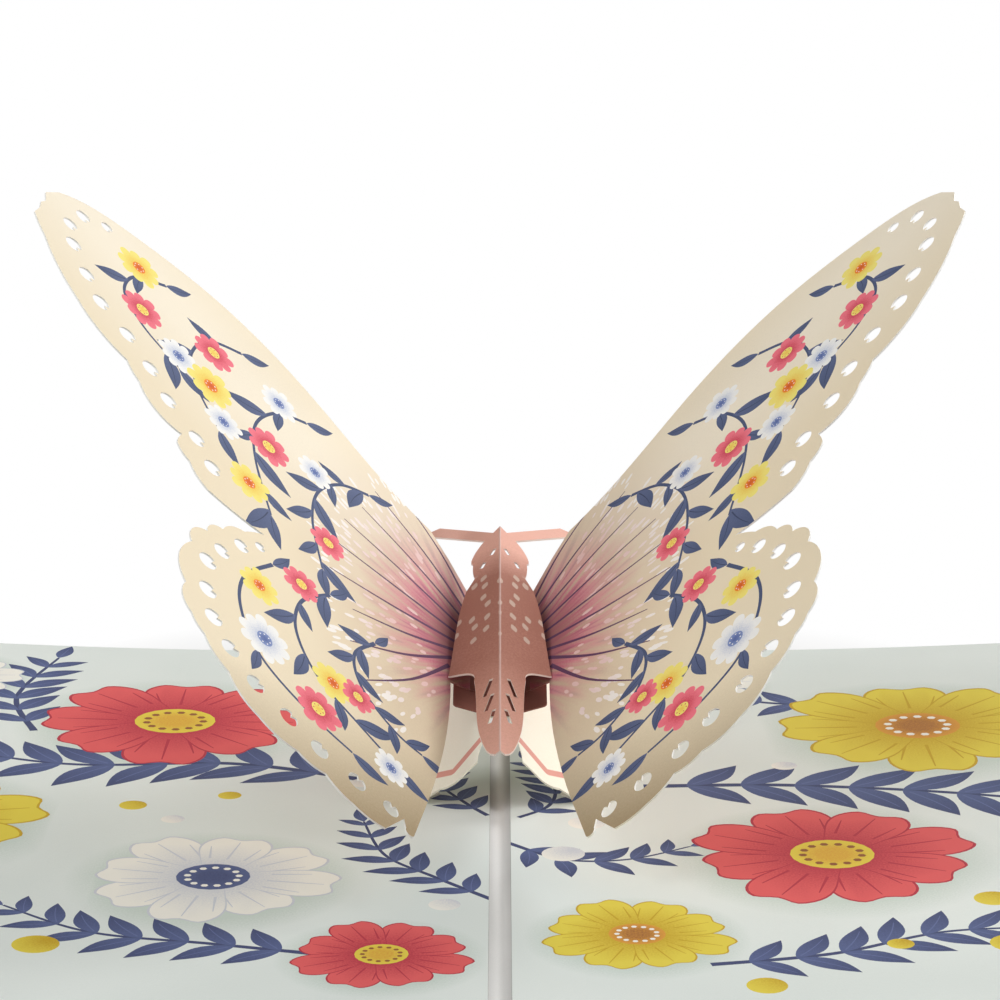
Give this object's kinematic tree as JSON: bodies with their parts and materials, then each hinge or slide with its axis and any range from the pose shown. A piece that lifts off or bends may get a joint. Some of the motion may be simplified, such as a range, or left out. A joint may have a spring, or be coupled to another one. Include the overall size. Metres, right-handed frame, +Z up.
{
  "type": "pop-up greeting card",
  "caption": "Open folded card with a paper butterfly that stands on the fold: punched, scalloped wings, a creased body with antennae, and a tent-shaped leg support.",
  "frame": {"origin": "on the table, at the middle of the card's fold", "axes": "+X across the open panels, +Y along the fold towards the butterfly's head, +Z up"},
  "size_m": [0.2538, 0.178, 0.0963],
  "materials": {
    "cover_card": "matte",
    "liner_paper": "matte",
    "leg_paper": "matte",
    "belly_paper": "matte",
    "wing_paper": "matte",
    "body_paper": "matte"
  },
  "bodies": {
    "root": {"cover": "cover_card", "left_liner": "liner_paper", "right_liner": "liner_paper", "leg_support": "leg_paper", "belly": "belly_paper", "left_wing": "wing_paper", "right_wing": "wing_paper", "body_shell": "body_paper"}
  },
  "joints": []
}
